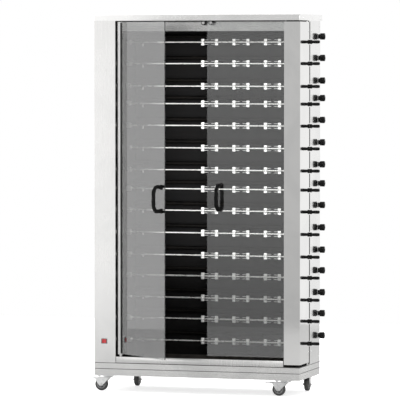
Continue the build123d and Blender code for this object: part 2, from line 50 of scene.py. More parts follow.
def deselect():
    if bpy.context.mode != "OBJECT":
        bpy.ops.object.mode_set(mode="OBJECT")
    bpy.ops.object.select_all(action="DESELECT")


def settle(name):
    # The new primitive's place goes into its mesh.
    piece = bpy.context.object
    piece.name = name
    piece.data.name = name
    bpy.ops.object.transform_apply(location=True, rotation=True, scale=True)
    return piece


def low(nodeName):
    return Vector(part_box(nodeName)[0])


def high(nodeName):
    return Vector(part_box(nodeName)[1])


def middle(nodeName):
    return (low(nodeName) + high(nodeName)) / 2


def pickFaces(piece, test):
    bpy.context.view_layer.objects.active = piece
    piece.select_set(True)
    bpy.ops.object.mode_set(mode="EDIT")
    bpy.ops.mesh.select_mode(type="FACE")
    bpy.ops.mesh.select_all(action="DESELECT")
    shape = bmesh.from_edit_mesh(piece.data)
    for face in shape.faces:
        face.select_set(bool(test(face.calc_center_median(), face.normal)))
    bmesh.update_edit_mesh(piece.data)


def pickEdges(piece, test):
    bpy.context.view_layer.objects.active = piece
    piece.select_set(True)
    bpy.ops.object.mode_set(mode="EDIT")
    bpy.ops.mesh.select_mode(type="EDGE")
    bpy.ops.mesh.select_all(action="DESELECT")
    shape = bmesh.from_edit_mesh(piece.data)
    for edge in shape.edges:
        edge.select_set(bool(test(edge.verts[0].co, edge.verts[1].co)))
    bmesh.update_edit_mesh(piece.data)


def turned(name, base, axis, stations, sides=32):
    # A round piece drawn out along an axis: each station is (distance along, radius).
    deselect()
    axis = Vector(axis)
    tilt = Vector((0, 0, 1)).rotation_difference(axis).to_euler()
    start = Vector(base) + axis * stations[0][0]
    bpy.ops.mesh.primitive_circle_add(vertices=sides, radius=stations[0][1], fill_type="NGON",
                                      location=start, rotation=tilt)
    piece = settle(name)
    bpy.ops.object.mode_set(mode="EDIT")
    bpy.ops.mesh.select_mode(type="FACE")
    bpy.ops.mesh.select_all(action="SELECT")
    for (before, oldRadius), (along, radius) in zip(stations, stations[1:]):
        bpy.ops.mesh.extrude_region_move(TRANSFORM_OT_translate={"value": axis * (along - before)})
        ratio = radius / oldRadius
        bpy.ops.transform.resize(value=(ratio, ratio, ratio), center_override=Vector(base) + axis * along)
    bpy.ops.mesh.select_all(action="SELECT")
    bpy.ops.mesh.normals_make_consistent(inside=False)
    bpy.ops.object.mode_set(mode="OBJECT")
    return piece


def barBlock(name, centre, size, bevel=0.0, segments=2, turn=0.0):
    # A block with softened edges, turned about its upright axis.
    deselect()
    bpy.ops.mesh.primitive_cube_add(size=1, location=centre, rotation=(0, 0, turn))
    bpy.context.object.scale = size
    piece = settle(name)
    if bevel:
        bpy.ops.object.mode_set(mode="EDIT")
        bpy.ops.mesh.select_all(action="SELECT")
        bpy.ops.mesh.bevel(offset=bevel, segments=segments, affect="EDGES")
        bpy.ops.object.mode_set(mode="OBJECT")
    return piece


def joined(name, pieces):
    deselect()
    for piece in pieces:
        piece.select_set(True)
    bpy.context.view_layer.objects.active = pieces[0]
    if len(pieces) > 1:
        bpy.ops.object.join()
    whole = bpy.context.object
    whole.name = name
    whole.data.name = name
    return whole


def copied(piece, name, shift=(0, 0, 0)):
    twin = piece.copy()
    twin.data = piece.data.copy()
    twin.name = name
    twin.data.name = name
    twin.data.transform(Matrix.Translation(Vector(shift)))
    bpy.context.collection.objects.link(twin)
    return twin


def dressed(piece, material, body, angle=35):
    deselect()
    piece.select_set(True)
    bpy.context.view_layer.objects.active = piece
    bpy.ops.object.shade_smooth_by_angle(angle=math.radians(angle))
    piece.data.materials.clear()
    piece.data.materials.append(material)
    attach(piece, body)
    return piece


# Shared effects. A group puts out only masks, colours and heights.

def newGroup(name, inputs, outputs):
    group = bpy.data.node_groups.new(name, "ShaderNodeTree")
    for label, kind, value in inputs:
        group.interface.new_socket(name=label, in_out="INPUT", socket_type=kind).default_value = value
    for label, kind in outputs:
        group.interface.new_socket(name=label, in_out="OUTPUT", socket_type=kind)
    return group, group.nodes.new("NodeGroupInput"), group.nodes.new("NodeGroupOutput")


def makeGrainGroup():
    # Fine lines left by brushing, drawn out along the sheet.
    group, entry, out = newGroup("brushedGrain",
                                 [("Stretch", "NodeSocketVector", (1, 1, 1)),
                                  ("Depth", "NodeSocketFloat", 0.5)],
                                 [("Lines", "NodeSocketFloat"), ("Height", "NodeSocketFloat")])
    place = group.nodes.new("ShaderNodeTexCoord")
    draw = group.nodes.new("ShaderNodeVectorMath")
    draw.operation = "MULTIPLY"
    fine = group.nodes.new("ShaderNodeTexNoise")
    fine.inputs["Scale"].default_value = 1.0
    fine.inputs["Detail"].default_value = 3.0
    coarse = group.nodes.new("ShaderNodeTexNoise")
    coarse.inputs["Scale"].default_value = 0.22
    coarse.inputs["Detail"].default_value = 2.0
    blend = group.nodes.new("ShaderNodeMath")
    blend.operation = "MULTIPLY_ADD"
    blend.inputs[1].default_value = 0.35
    depth = group.nodes.new("ShaderNodeMath")
    depth.operation = "MULTIPLY"
    link = group.links.new
    link(place.outputs["Object"], draw.inputs[0])
    link(entry.outputs["Stretch"], draw.inputs[1])
    link(draw.outputs[0], fine.inputs["Vector"])
    link(draw.outputs[0], coarse.inputs["Vector"])
    link(coarse.outputs["Fac"], blend.inputs[0])
    link(fine.outputs["Fac"], blend.inputs[2])
    link(blend.outputs[0], depth.inputs[0])
    link(entry.outputs["Depth"], depth.inputs[1])
    link(blend.outputs[0], out.inputs["Lines"])
    link(depth.outputs[0], out.inputs["Height"])
    return group


def makeCloudGroup():
    # Soft cloudy patches: wiping marks on steel and glass, uneven satin on plastic.
    group, entry, out = newGroup("wipeClouds",
                                 [("Scale", "NodeSocketFloat", 4.0), ("Low", "NodeSocketFloat", 0.0),
                                  ("High", "NodeSocketFloat", 1.0)],
                                 [("Cloud", "NodeSocketFloat")])
    place = group.nodes.new("ShaderNodeTexCoord")
    broad = group.nodes.new("ShaderNodeTexNoise")
    broad.inputs["Detail"].default_value = 4.0
    broad.inputs["Roughness"].default_value = 0.55
    broad.inputs["Distortion"].default_value = 0.8
    span = group.nodes.new("ShaderNodeMapRange")
    span.inputs["From Min"].default_value = 0.32
    span.inputs["From Max"].default_value = 0.68
    link = group.links.new
    link(place.outputs["Object"], broad.inputs["Vector"])
    link(entry.outputs["Scale"], broad.inputs["Scale"])
    link(broad.outputs["Fac"], span.inputs["Value"])
    link(entry.outputs["Low"], span.inputs["To Min"])
    link(entry.outputs["High"], span.inputs["To Max"])
    link(span.outputs["Result"], out.inputs["Cloud"])
    return group


def makeSpeckGroup():
    # Small specks and pits: baked-on fat, cast surface, dust on rubber.
    group, entry, out = newGroup("fineSpecks",
                                 [("Scale", "NodeSocketFloat", 300.0), ("Amount", "NodeSocketFloat", 0.3)],
                                 [("Specks", "NodeSocketFloat")])
    place = group.nodes.new("ShaderNodeTexCoord")
    dots = group.nodes.new("ShaderNodeTexNoise")
    dots.inputs["Detail"].default_value = 2.0
    cut = group.nodes.new("ShaderNodeMapRange")
    cut.inputs["From Min"].default_value = 0.55
    cut.inputs["From Max"].default_value = 0.75
    link = group.links.new
    link(place.outputs["Object"], dots.inputs["Vector"])
    link(entry.outputs["Scale"], dots.inputs["Scale"])
    link(dots.outputs["Fac"], cut.inputs["Value"])
    link(entry.outputs["Amount"], cut.inputs["To Max"])
    link(cut.outputs["Result"], out.inputs["Specks"])
    return group


grainGroup = makeGrainGroup()
cloudGroup = makeCloudGroup()
speckGroup = makeSpeckGroup()


def newFinish(name, **sockets):
    material = bpy.data.materials.new(name)
    material.use_nodes = True
    shader = material.node_tree.nodes["Principled BSDF"]
    for label, value in sockets.items():
        shader.inputs[label.replace("_", " ")].default_value = value
    return material, material.node_tree, shader


def addGroup(tree, group, **values):
    node = tree.nodes.new("ShaderNodeGroup")
    node.node_tree = group
    for label, value in values.items():
        node.inputs[label].default_value = value
    return node


def mixColours(tree, factor, first, second):
    mix = tree.nodes.new("ShaderNodeMix")
    mix.data_type = "RGBA"
    tree.links.new(factor, mix.inputs["Factor"])
    mix.inputs["A"].default_value = (*first, 1)
    mix.inputs["B"].default_value = (*second, 1)
    return mix.outputs["Result"]


def addValues(tree, first, second, share):
    # first + share * second
    node = tree.nodes.new("ShaderNodeMath")
    node.operation = "MULTIPLY_ADD"
    tree.links.new(second, node.inputs[0])
    node.inputs[1].default_value = share
    if isinstance(first, float):
        node.inputs[2].default_value = first
    else:
        tree.links.new(first, node.inputs[2])
    return node.outputs[0]


def addBump(tree, shader, height, strength, distance):
    bump = tree.nodes.new("ShaderNodeBump")
    bump.inputs["Strength"].default_value = strength
    bump.inputs["Distance"].default_value = distance
    tree.links.new(height, bump.inputs["Height"])
    tree.links.new(bump.outputs["Normal"], shader.inputs["Normal"])


def makeSteel(name, light, dark, stretch, rough=0.14, spread=0.12, cloudScale=2.2, wave=0.35):
    # Brushed stainless sheet with wiping marks and a slight oil-can wave.
    material, tree, shader = newFinish(name, Metallic=1.0)
    grain = addGroup(tree, grainGroup, Stretch=stretch, Depth=0.5)
    cloud = addGroup(tree, cloudGroup, Scale=cloudScale)
    waves = addGroup(tree, cloudGroup, Scale=cloudScale * 0.9)
    tint = addValues(tree, cloud.outputs["Cloud"], grain.outputs["Lines"], 0.4)
    tree.links.new(mixColours(tree, tint, dark, light), shader.inputs["Base Color"])
    roughness = addValues(tree, rough, grain.outputs["Lines"], spread)
    roughness = addValues(tree, roughness, cloud.outputs["Cloud"], spread * 0.6)
    tree.links.new(roughness, shader.inputs["Roughness"])
    height = addValues(tree, grain.outputs["Height"], waves.outputs["Cloud"], 8.0 * wave)
    addBump(tree, shader, height, 0.25, 0.0006)
    return material


def makePlastic(name, colour, paler, rough, speckScale=900.0, bump=0.12, gloss=0.5):
    material, tree, shader = newFinish(name, IOR=1.48, Specular_IOR_Level=gloss)
    cloud = addGroup(tree, cloudGroup, Scale=22.0)
    specks = addGroup(tree, speckGroup, Scale=speckScale, Amount=0.6)
    tree.links.new(mixColours(tree, cloud.outputs["Cloud"], colour, paler), shader.inputs["Base Color"])
    roughness = addValues(tree, rough, cloud.outputs["Cloud"], 0.14)
    tree.links.new(roughness, shader.inputs["Roughness"])
    addBump(tree, shader, specks.outputs["Specks"], bump, 0.0004)
    return material


def makeLiner():
    # Dark enamel with faint baked-on specks.
    material, tree, shader = newFinish("darkEnamel", IOR=1.45)
    cloud = addGroup(tree, cloudGroup, Scale=5.0)
    specks = addGroup(tree, speckGroup, Scale=140.0, Amount=0.5)
    tone = addValues(tree, cloud.outputs["Cloud"], specks.outputs["Specks"], 0.6)
    colour = mixColours(tree, tone, (0.0035, 0.0035, 0.0038), (0.0075, 0.0070, 0.0068))
    tree.links.new(colour, shader.inputs["Base Color"])
    tree.links.new(addValues(tree, 0.45, cloud.outputs["Cloud"], 0.2), shader.inputs["Roughness"])
    shader.inputs["Specular IOR Level"].default_value = 0.12
    addBump(tree, shader, specks.outputs["Specks"], 0.15, 0.0005)
    return material


def makeGlass(name, tint):
    # Heat-reflecting oven glass with faint wiping smears.
    material, tree, shader = newFinish(name, IOR=1.9)
    shader.inputs["Transmission Weight"].default_value = 1.0
    shader.inputs["Base Color"].default_value = (*tint, 1)
    smears = addGroup(tree, cloudGroup, Scale=3.5)
    tree.links.new(addValues(tree, 0.0, smears.outputs["Cloud"], 0.035), shader.inputs["Roughness"])
    return material


def makeZinc():
    material, tree, shader = newFinish("zincPlate", Metallic=1.0)
    cloud = addGroup(tree, cloudGroup, Scale=40.0)
    colour = mixColours(tree, cloud.outputs["Cloud"], (0.74, 0.745, 0.75), (0.90, 0.90, 0.89))
    tree.links.new(colour, shader.inputs["Base Color"])
    tree.links.new(addValues(tree, 0.26, cloud.outputs["Cloud"], 0.16), shader.inputs["Roughness"])
    specks = addGroup(tree, speckGroup, Scale=500.0, Amount=0.5)
    addBump(tree, shader, specks.outputs["Specks"], 0.1, 0.0003)
    return material


def makeHeated(name, cool, straw, rough=0.4):
    # Dark steel in cloudy bands; on the burners a flame has browned it.
    material, tree, shader = newFinish(name, Metallic=1.0)
    cloud = addGroup(tree, cloudGroup, Scale=9.0)
    tree.links.new(mixColours(tree, cloud.outputs["Cloud"], cool, straw), shader.inputs["Base Color"])
    tree.links.new(addValues(tree, rough, cloud.outputs["Cloud"], 0.2), shader.inputs["Roughness"])
    specks = addGroup(tree, speckGroup, Scale=400.0, Amount=0.6)
    addBump(tree, shader, specks.outputs["Specks"], 0.15, 0.0003)
    return material


uprightSteel = makeSteel("brushedUpright", (0.80, 0.795, 0.785), (0.66, 0.66, 0.655), (420, 420, 5))
levelSteel = makeSteel("brushedLevel", (0.78, 0.775, 0.765), (0.62, 0.62, 0.615), (5, 420, 420))
sideSteel = makeSteel("polishedSide", (0.82, 0.815, 0.805), (0.70, 0.70, 0.695), (420, 420, 5), rough=0.02,
                      spread=0.04, wave=0.1)
postSteel = makeSteel("dullPost", (0.72, 0.72, 0.715), (0.56, 0.56, 0.555), (420, 420, 5), rough=0.12,
                      wave=0.0)
panelSteel = makeSteel("satinPanel", (0.82, 0.815, 0.805), (0.70, 0.70, 0.695), (420, 420, 5), rough=0.07,
                       spread=0.08, wave=0.1)
roofSteel = makeSteel("brushedRoof", (0.93, 0.925, 0.915), (0.80, 0.80, 0.795), (5, 420, 420))
backSteel = makeSteel("brushedBack", (0.7, 0.7, 0.69), (0.56, 0.56, 0.555), (420, 420, 5), rough=0.26)
spitSteel = makeSteel("groundSpit", (0.9, 0.89, 0.87), (0.72, 0.71, 0.69), (30, 900, 900), rough=0.16,
                      cloudScale=14.0, wave=0.0)
forkSteel = makeSteel("castFork", (0.95, 0.945, 0.93), (0.82, 0.815, 0.80), (60, 500, 500), rough=0.3,
                      cloudScale=30.0, wave=0.0)
enamel = makeLiner()
doorGlass = makeGlass("doorGlass", (0.965, 0.975, 0.97))
# The left pane gets a darker tinted copy of the door glass: painted shade, as both panes are the same glass.
leftPaneShadedGlass = makeGlass("leftPaneShadedGlass", (0.53, 0.535, 0.53))
zinc = makeZinc()
panSteel = makeHeated("darkTrayPan", (0.045, 0.043, 0.041), (0.11, 0.10, 0.09), rough=0.38)
burnerSteel = makeHeated("flamedSteel", (0.010, 0.0098, 0.0096), (0.022, 0.020, 0.018), rough=0.55)
bakelite = makePlastic("blackBakelite", (0.003, 0.003, 0.003), (0.007, 0.007, 0.007), 0.34, gloss=0.12)
handleCoat = makePlastic("handleCoat", (0.003, 0.003, 0.003), (0.006, 0.006, 0.006), 0.38, gloss=0.10)
switchRed = makePlastic("switchRed", (0.36, 0.022, 0.026), (0.46, 0.035, 0.04), 0.22, bump=0.05)
switchBlack = makePlastic("switchFrame", (0.10, 0.085, 0.085), (0.14, 0.12, 0.12), 0.35)
rubber = makePlastic("greyRubber", (0.030, 0.030, 0.031), (0.060, 0.059, 0.057), 0.5, speckScale=500.0,
                     bump=0.3)
# Black rubber for the glazing bead and the catch sleeves; the same black also paints shadow lines at the joints
# and over the doors.
rubberAndShadowBlack = makePlastic("blackRubberAndShadow", (0.006, 0.006, 0.006), (0.016, 0.016, 0.016), 0.5, gloss=0.25)
hubPlastic = makePlastic("hubPlastic", (0.16, 0.16, 0.163), (0.22, 0.22, 0.22), 0.38)
ceramic = makePlastic("whiteCeramic", (0.78, 0.77, 0.74), (0.88, 0.87, 0.84), 0.3, bump=0.05)
drivePaint = makePlastic("drivePaint", (0.05, 0.06, 0.075), (0.075, 0.085, 0.1), 0.4)
markWhite = makePlastic("markWhite", (0.75, 0.75, 0.73), (0.85, 0.85, 0.83), 0.4, bump=0.03)
print("finishes made")

nodeFinish = {
    "base_plinth": levelSteel, "base_deck": levelSteel, "roof_cap": roofSteel, "chamber_top": levelSteel,
    "drive_housing_cover": uprightSteel, "right_side_panel": panelSteel,
    "right_door_column": sideSteel, "left_door_post": postSteel, "back_panel": backSteel,
    "chamber_walls": enamel, "gas_manifold": zinc, "drive_chain": zinc,
    "gear_motor": drivePaint, "caster_mounts": zinc, "switch_bezel": switchBlack, "switch_rocker": switchRed,
    "left_door_glass": leftPaneShadedGlass, "right_door_glass": doorGlass,
    "left_door_handle": handleCoat, "right_door_handle": handleCoat,
    "front_left_caster_fork": zinc, "front_right_caster_fork": zinc,
    "front_left_brake_pedal": zinc, "front_right_brake_pedal": zinc,
}
for nodeName, finish in nodeFinish.items():
    for holder in nodes[nodeName].material_slots:
        holder.material = finish

# Camera, light and floor

cameraSet = {"place": (5.137, -16.928, 1.760), "turn": 17.007, "down": 2.405, "lens": 299.6}
eye = bpy.data.cameras.new("camera")
eye.lens = cameraSet["lens"]
eye.sensor_width = 36.0
eye.clip_end = 100.0
camera = bpy.data.objects.new("camera", eye)
camera.location = cameraSet["place"]
camera.rotation_euler = (math.radians(90 - cameraSet["down"]), 0, math.radians(cameraSet["turn"]))
bpy.context.collection.objects.link(camera)
bpy.context.scene.camera = camera
bpy.context.scene.view_settings.view_transform = "Standard"

floorSet = {"size": 9.0, "lift": 0.6}
deselect()
bpy.ops.mesh.primitive_plane_add(size=floorSet["size"], location=(0, 0, 0))
floor = settle("floor")
floorPaint, floorTree, floorShader = newFinish("paleFloor", Roughness=0.7)
floorShader.inputs["Base Color"].default_value = (0.9, 0.9, 0.9, 1)
floorShader.inputs["Emission Color"].default_value = (1, 1, 1, 1)
floorShader.inputs["Emission Strength"].default_value = floorSet["lift"]
dimFloor = floorTree.nodes.new("ShaderNodeBsdfDiffuse")
dimFloor.inputs["Color"].default_value = (0.52, 0.52, 0.52, 1)
floorRay = floorTree.nodes.new("ShaderNodeLightPath")
floorPick = floorTree.nodes.new("ShaderNodeMixShader")
floorTree.links.new(floorRay.outputs["Is Glossy Ray"], floorPick.inputs[0])
floorTree.links.new(floorShader.outputs[0], floorPick.inputs[1])
floorTree.links.new(dimFloor.outputs[0], floorPick.inputs[2])
floorTree.links.new(floorPick.outputs[0], floorTree.nodes["Material Output"].inputs["Surface"])
floor.data.materials.append(floorPaint)

studioSet = {"back": 1.0, "frontLow": 0.42, "frontHigh": 0.80, "backdrop": 1.0}


def makeStudio():
    # A white backdrop; the room in front of the object is dimmer, and dimmer still near the floor.
    world = bpy.data.worlds.new("studio")
    world.use_nodes = True
    tree = world.node_tree
    room = tree.nodes["Background"]
    link = tree.links.new
    toward = tree.nodes.new("ShaderNodeTexCoord")
    parts = tree.nodes.new("ShaderNodeSeparateXYZ")
    link(toward.outputs["Generated"], parts.inputs[0])
    front = tree.nodes.new("ShaderNodeMapRange")
    link(parts.outputs["Z"], front.inputs["Value"])
    front.inputs["From Min"].default_value = -0.2
    front.inputs["From Max"].default_value = 0.2
    front.inputs["To Min"].default_value = studioSet["frontLow"]
    front.inputs["To Max"].default_value = studioSet["frontHigh"]
    behind = tree.nodes.new("ShaderNodeMapRange")
    behind.interpolation_type = "SMOOTHSTEP"
    link(parts.outputs["Y"], behind.inputs["Value"])
    behind.inputs["From Min"].default_value = -0.3
    behind.inputs["From Max"].default_value = 0.3
    mix = tree.nodes.new("ShaderNodeMix")
    mix.data_type = "FLOAT"
    link(behind.outputs["Result"], mix.inputs["Factor"])
    link(front.outputs["Result"], mix.inputs["A"])
    mix.inputs["B"].default_value = studioSet["back"]
    link(mix.outputs["Result"], room.inputs["Strength"])
    backdrop = tree.nodes.new("ShaderNodeBackground")
    backdrop.inputs["Strength"].default_value = studioSet["backdrop"]
    ray = tree.nodes.new("ShaderNodeLightPath")
    pick = tree.nodes.new("ShaderNodeMixShader")
    for background in (room, backdrop):
        background.inputs["Color"].default_value = (1, 1, 1, 1)
    link(ray.outputs["Is Camera Ray"], pick.inputs[0])
    link(room.outputs[0], pick.inputs[1])
    link(backdrop.outputs[0], pick.inputs[2])
    link(pick.outputs[0], tree.nodes["World Output"].inputs["Surface"])
    bpy.context.scene.world = world


makeStudio()
# A card lights what faces it and shows in the steel and the glass: power = glow * pi * area.
cards = [
    {"name": "leftCard", "place": (-1.7, 0.2, 1.1), "aim": (0, 0.2, 1.1),
     "size": (2.4, 2.2), "power": 11.0, "spread": 180},
    {"name": "frontCard", "place": (-1.98, -3.4, 1.25), "aim": (-0.5, -0.2, 1.2),
     "size": (1.35, 2.5), "power": 7.2, "spread": 180},
    {"name": "overhead", "place": (0, 1.0, 6.0), "aim": (0, 1.0, 0),
     "size": (6.0, 6.0), "power": 230, "spread": 180},
    {"name": "keyCard", "place": (3.5, -9.0, 3.4), "aim": (0, 0, 1.0),
     "size": (1.2, 1.2), "power": 170, "spread": 180},
    {"name": "chamberFill", "place": (0.06, -0.172, 1.29), "aim": (0.06, 0, 1.29),
     "size": (0.80, 1.18), "power": 2.5, "spread": 105},
]
for card in cards:
    lamp = bpy.data.lights.new(card["name"], "AREA")
    lamp.shape = "RECTANGLE"
    lamp.size, lamp.size_y = card["size"]
    lamp.energy = card["power"]
    lamp.spread = math.radians(card["spread"])
    holder = bpy.data.objects.new(card["name"], lamp)
    holder.location = card["place"]
    aim = Vector(card["aim"]) - Vector(card["place"])
    holder.rotation_euler = aim.to_track_quat("-Z", "Y").to_euler()
    holder.visible_camera = False
    holder.visible_transmission = False
    bpy.context.collection.objects.link(holder)
print("camera and studio ready")


# Spits: rod, forks and grip, made once on the lowest spit and copied up the stack

spitSet = {"rodRadius": 0.0045, "firstFork": -0.022, "pairPitch": 0.1735, "pairGap": 0.077, "tineGap": 0.012,
           "tineLength": 0.032, "cheek": (0.0172, 0.0094, 0.0124), "cheekRise": 0.0111, "teeth": 26}


def makeSprocket(centre, radius, thickness, teeth):
    stations = [(0, radius * 0.86), (0.0, radius), (thickness, radius), (thickness, radius * 0.86)]
    wheel = turned("sprocket", centre - Vector((thickness / 2, 0, 0)), (1, 0, 0), stations, sides=teeth * 2)

    def onTooth(place, normal):
        away = Vector((0, place.y - centre.y, place.z - centre.z))
        step = round(math.atan2(away.z, away.y) / math.pi * teeth - 0.5)
        return away.length > radius * 0.97 and step % 2 == 0

    pickFaces(wheel, onTooth)
    bpy.ops.transform.resize(value=(0.9, 0.93, 0.93), center_override=centre)
    bpy.ops.object.mode_set(mode="OBJECT")
    return wheel


def makeSpitRod(node):
    # Spindle, sprocket, socket and rod with its seat journal.
    centre = middle(node)
    base = Vector((0, centre.y, centre.z))
    rod = spitSet["rodRadius"]
    left = low(node).x
    shaft = turned("shaft", base, (1, 0, 0),
                   [(left, 0.006), (left + 0.002, 0.008), (-0.444, 0.008), (-0.444, 0.013), (-0.441, 0.0138),
                    (-0.43, 0.0138), (-0.422, 0.0148), (-0.42, 0.0142), (-0.42, 0.0072), (-0.426, 0.0068),
                    (-0.426, rod), (0.546, rod), (0.551, 0.006), (0.5675, 0.006)], sides=28)
    flat = turned("driveFlat", base, (1, 0, 0), [(-0.4262, 0.0078), (-0.4155, 0.0078), (-0.412, 0.0050)],
                  sides=4)
    sprocket = makeSprocket(Vector((-0.49, centre.y, centre.z)), 0.0266, 0.0056, spitSet["teeth"])
    hub = turned("sprocketHub", base, (1, 0, 0), [(-0.4985, 0.0125), (-0.4975, 0.0135), (-0.4835, 0.0135),
                                                  (-0.4825, 0.0125)], sides=28)
    return joined("spitRod", [shaft, flat, sprocket, hub])


def makeFork(x, inward, node):
    # A clamp on the rod with a cheek above and below, two tines and a wing screw.
    centre = middle(node)
    at = Vector((x, centre.y, centre.z))
    clamp = turned("clamp", at, (1, 0, 0), [(-0.0095, 0.0068), (-0.0085, 0.0085), (0.0085, 0.0085),
                                            (0.0095, 0.0068)], sides=20)
    parts = [clamp]
    reach = spitSet["tineLength"]
    for side in (-1, 1):
        cheekPlace = at + Vector((0, 0, spitSet["cheekRise"] * side))
        cheek = barBlock("cheek", cheekPlace, spitSet["cheek"], 0.0015, 2)
        tine = turned("tine", at + Vector((0, 0, spitSet["tineGap"] * side)), (inward, 0, 0),
                      [(0.0070, 0.0015), (reach * 0.82, 0.0014), (reach, 0.0004)], sides=10)
        parts += [cheek, tine]
    screw = turned("screw", at, (0, -1, 0), [(0.004, 0.0034), (0.0088, 0.0034), (0.0092, 0.0054),
                                             (0.0112, 0.0054), (0.0119, 0.0042)], sides=6)
    wing = barBlock("wing", at + Vector((0, -0.0126, 0)), (0.0024, 0.0030, 0.012), 0.0008, 1)
    return joined("fork", parts + [screw, wing])


def makeForks(node):
    forks = []
    for pair in range(3):
        x = spitSet["firstFork"] + spitSet["pairPitch"] * pair
        forks.append(makeFork(x, 1, node))
        forks.append(makeFork(x + spitSet["pairGap"], -1, node))
    return joined("forks", forks)


def makeGrip(node):
    # Round black grip behind a wider collar.
    centre = middle(node)
    base = Vector((0, centre.y, centre.z))
    return turned("grip", base, (1, 0, 0),
                  [(0.5676, 0.0102), (0.569, 0.0112), (0.5765, 0.0114), (0.5780, 0.0106), (0.5788, 0.0080),
                   (0.584, 0.0076), (0.592, 0.0084), (0.606, 0.0087), (0.6155, 0.0082), (0.6195, 0.0065),
                   (0.6208, 0.0034)], sides=28)


firstSpit = spitNames[0]
rodPattern = makeSpitRod(firstSpit)
forkPattern = makeForks(firstSpit)
gripPattern = makeGrip(firstSpit)
plainRod = makeSpitRod(spitNames[1])
for name in spitNames:
    rise = Vector((0, 0, middle(name).z - middle(firstSpit).z))
    if name == firstSpit:
        rod, forks, grip = rodPattern, forkPattern, gripPattern
    else:
        fromSecond = Vector((0, 0, middle(name).z - middle(spitNames[1]).z))
        rod = plainRod if name == spitNames[1] else copied(plainRod, "rod", fromSecond)
        forks, grip = copied(forkPattern, "forks", rise), copied(gripPattern, "grip", rise)
    rod.name, forks.name, grip.name = name + "_rod", name + "_forks", name + "_grip"
    dressed(rod, spitSteel, name)
    dressed(forks, forkSteel, name)
    dressed(grip, bakelite, name)
    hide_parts(name)
    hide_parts(name)
    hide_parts(name)
print("spits:", len(spitNames))

# Gas taps: fluted knobs with a pointer, on a plated ring

tapSet = {"flutes": 12, "fluteDepth": 0.90}


def makeKnob(node):
    centre = middle(node)
    face = high("right_side_panel").x - 0.002
    base = Vector((face, centre.y, centre.z))
    body = turned("knobBody", base, (1, 0, 0),
                  [(-0.0146, 0.004), (0.0015, 0.004), (0.002, 0.0122), (0.0046, 0.0126), (0.0056, 0.0084),
                   (0.0076, 0.0082), (0.0086, 0.0150), (0.0102, 0.0170), (0.021, 0.0173), (0.0315, 0.0175),
                   (0.0332, 0.0162), (0.0338, 0.0128), (0.0326, 0.0114), (0.0326, 0.004)],
                  sides=tapSet["flutes"] * 4)

    def onFlute(place, normal):
        away = Vector((0, place.y - centre.y, place.z - centre.z))
        step = round(math.atan2(away.z, away.y) / (2 * math.pi) * tapSet["flutes"] * 4 - 0.5)
        return 0.0102 < place.x - face < 0.0326 and away.length > 0.0122 and step % 4 == 0

    pickFaces(body, onFlute)
    depth = tapSet["fluteDepth"]
    bpy.ops.transform.resize(value=(1, depth, depth), center_override=base + Vector((0.02, 0, 0)))
    bpy.ops.object.mode_set(mode="OBJECT")
    ridge = barBlock("ridge", base + Vector((0.0328, 0, 0.0012)), (0.0030, 0.0062, 0.0222), 0.0012, 2)
    return joined("knob", [body, ridge])


def makeMark(node):
    centre = middle(node)
    face = high("right_side_panel").x - 0.002
    place = Vector((face + 0.0344, centre.y, centre.z + 0.0075))
    return barBlock("mark", place, (0.0006, 0.0016, 0.0075), 0.0002, 1)


def makeTapRing(node):
    centre = middle(node)
    face = high("right_side_panel").x - 0.002
    return turned("tapRing", Vector((face, centre.y, centre.z)), (1, 0, 0),
                  [(0.0001, 0.0175), (0.0008, 0.0178), (0.0012, 0.0170), (0.0012, 0.0108), (0.0004, 0.0104)],
                  sides=36)


firstKnob = knobNames[0]
knobPattern, markPattern, ringPattern = makeKnob(firstKnob), makeMark(firstKnob), makeTapRing(firstKnob)
rings = []
for name in knobNames:
    rise = Vector((0, 0, middle(name).z - middle(firstKnob).z))
    knob = copied(knobPattern, name + "_cap", rise)
    mark = copied(markPattern, name + "_mark", rise)
    rings.append(copied(ringPattern, "ring", rise))
    dressed(knob, bakelite, name)
    dressed(mark, markWhite, name)
    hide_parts(name)
    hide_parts(name)
for pattern in (knobPattern, markPattern, ringPattern):
    bpy.data.objects.remove(pattern)
tapRings = dressed(joined("tap_rings", rings), zinc, "cabinet")
print("taps:", len(knobNames))

# Burners: ported tubes with an igniter under each

burnerSet = {"y": 0.128, "aboveSpit": 0.030, "radius": 0.011, "ends": (-0.446, 0.540),
             "ported": (-0.400, 0.452), "ports": 34, "portDepth": 0.0014, "portEdge": 0.0008,
             "portAngles": (22, 38)}
igniterSet = {"x": -0.392, "y": 0.112, "plateY": 0.117, "wireLength": 0.0395}


def burnerLevel(node):
    return middle(node).z + burnerSet["aboveSpit"]


def makeBurner(node):
    # The flame ports are rows of slots sunk into the front of the tube.
    spot = Vector((0, burnerSet["y"], burnerLevel(node)))
    first, last = burnerSet["ported"]
    leftEnd, rightEnd = burnerSet["ends"]
    radius = burnerSet["radius"]
    steps = burnerSet["ports"] * 2
    stations = [(leftEnd, radius * 0.94), (leftEnd + 0.002, radius)]
    stations += [(first + (last - first) * step / steps, radius) for step in range(steps + 1)]
    stations += [(rightEnd - 0.0015, radius), (rightEnd, radius * 0.94)]
    tube = turned("tube", spot, (1, 0, 0), stations, sides=24)
    stepLength = (last - first) / steps
    lowAngle, highAngle = burnerSet["portAngles"]

    def onPort(place, normal):
        along = (place.x - first) / stepLength
        angle = math.degrees(math.atan2(place.z - spot.z, spot.y - place.y))
        onRow = lowAngle < abs(angle) < highAngle and abs(normal.x) < 0.5
        return onRow and 0 < along < steps and int(along) % 2 == 0

    pickFaces(tube, onPort)
    bpy.ops.mesh.inset(thickness=burnerSet["portEdge"], use_individual=True)
    bpy.ops.mesh.extrude_region_shrink_fatten(TRANSFORM_OT_shrink_fatten={"value": -burnerSet["portDepth"]})
    bpy.ops.object.mode_set(mode="OBJECT")
    collar = turned("collar", spot, (1, 0, 0), [(-0.4468, 0.013), (-0.4455, 0.0145), (-0.4430, 0.0145),
                                                (-0.4420, 0.0125)], sides=24)
    return joined("burner", [tube, collar])


